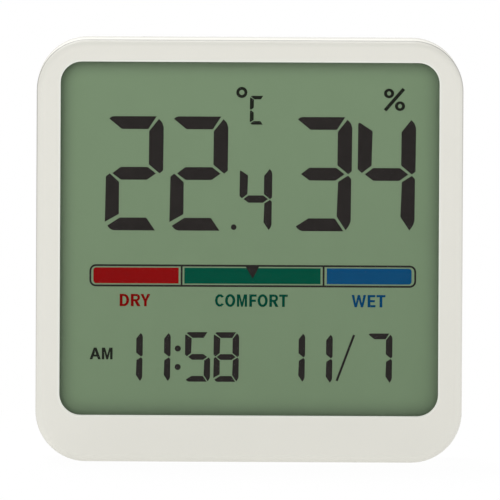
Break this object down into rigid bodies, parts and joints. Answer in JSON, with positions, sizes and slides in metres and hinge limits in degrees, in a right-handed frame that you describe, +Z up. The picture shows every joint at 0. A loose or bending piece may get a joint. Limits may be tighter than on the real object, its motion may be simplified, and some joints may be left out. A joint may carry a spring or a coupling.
{
  "type": "digital room thermometer",
  "caption": "Rounded-square digital room thermometer with a large framed reflective display, folding rear stand, battery door, keyhole hanger, vents and push buttons",
  "frame": {"origin": "under the middle of the case, on the surface that it stands on", "axes": "+X to the right of someone who reads the display, +Y from the face to the back, +Z up"},
  "size_m": [0.084, 0.022, 0.0832],
  "materials": {
    "case_plastic": "fine matt moulded ABS, warm pale grey",
    "button_plastic": "fine matt moulded ABS, a shade darker",
    "clear_pane": "clear acrylic pane with an anti-glare face",
    "adhesive": "black double-sided tape",
    "front_film": "grey-green polarising film",
    "display_glass": "thin clear display glass",
    "reflector_film": "grey-green reflective film",
    "segment_ink": "black liquid crystal segments and printed lines",
    "red_ink": "red screen-printed ink",
    "green_ink": "dark green screen-printed ink",
    "blue_ink": "blue screen-printed ink",
    "tray_plastic": "grey moulded ABS",
    "strip_rubber": "pale silicone strip with fine conductive layers",
    "board_laminate": "green solder mask on glass laminate",
    "epoxy": "black glossy epoxy dome",
    "nickel": "nickel-plated spring steel",
    "sensor_package": "black moulded package",
    "chip_ceramic": "dark ceramic chips",
    "switch_plastic": "black moulded nylon",
    "cell_jacket": "plain silver foil jacket",
    "screw_steel": "zinc-plated steel"
  },
  "bodies": {
    "case": {"front_frame": "case_plastic", "rear_cover": "case_plastic", "lens": "clear_pane", "lens_tape": "adhesive", "lcd_front_polarizer": "front_film", "lcd_front_glass": "display_glass", "lcd_rear_glass": "display_glass", "lcd_reflector": "reflector_film", "lcd_holder": "tray_plastic", "zebra_strip": "strip_rubber", "main_board": "board_laminate", "chip_blob": "epoxy", "clock_crystal": "nickel", "climate_sensor": "sensor_package", "board_parts": "chip_ceramic", "mode_switch": "switch_plastic", "up_switch": "switch_plastic", "down_switch": "switch_plastic", "battery_cell_upper": "cell_jacket", "battery_cell_lower": "cell_jacket", "positive_contact": "nickel", "negative_contact": "nickel", "bridge_contact": "nickel", "negative_spring": "nickel", "bridge_spring": "nickel", "case_screws": "screw_steel", "holder_screws": "screw_steel", "board_screws": "screw_steel"},
    "stand": {"kickstand": "case_plastic"},
    "door": {"battery_door": "case_plastic"},
    "mode_key": {"mode_button": "button_plastic", "mode_plunger": "switch_plastic"},
    "up_key": {"up_button": "button_plastic", "up_plunger": "switch_plastic"},
    "down_key": {"down_button": "button_plastic", "down_plunger": "switch_plastic"}
  },
  "joints": [
    {"name": "stand_hinge", "type": "hinge", "parent": "case", "child": "stand", "pos_m": [0, 0.0098, 0.0338], "axis": [1, 0, 0], "range_deg": [0, 35]},
    {"name": "door_hinge", "type": "hinge", "parent": "case", "child": "door", "pos_m": [0, 0.011, 0.066], "axis": [1, 0, 0], "range_deg": [0, 48]},
    {"name": "mode_press", "type": "slide", "parent": "case", "child": "mode_key", "axis": [0, -1, 0], "range_m": [0, 0.0003], "stiffness_N_per_m": 1500},
    {"name": "up_press", "type": "slide", "parent": "case", "child": "up_key", "axis": [0, -1, 0], "range_m": [0, 0.0003], "stiffness_N_per_m": 1500},
    {"name": "down_press", "type": "slide", "parent": "case", "child": "down_key", "axis": [0, -1, 0], "range_m": [0, 0.0003], "stiffness_N_per_m": 1500}
  ]
}
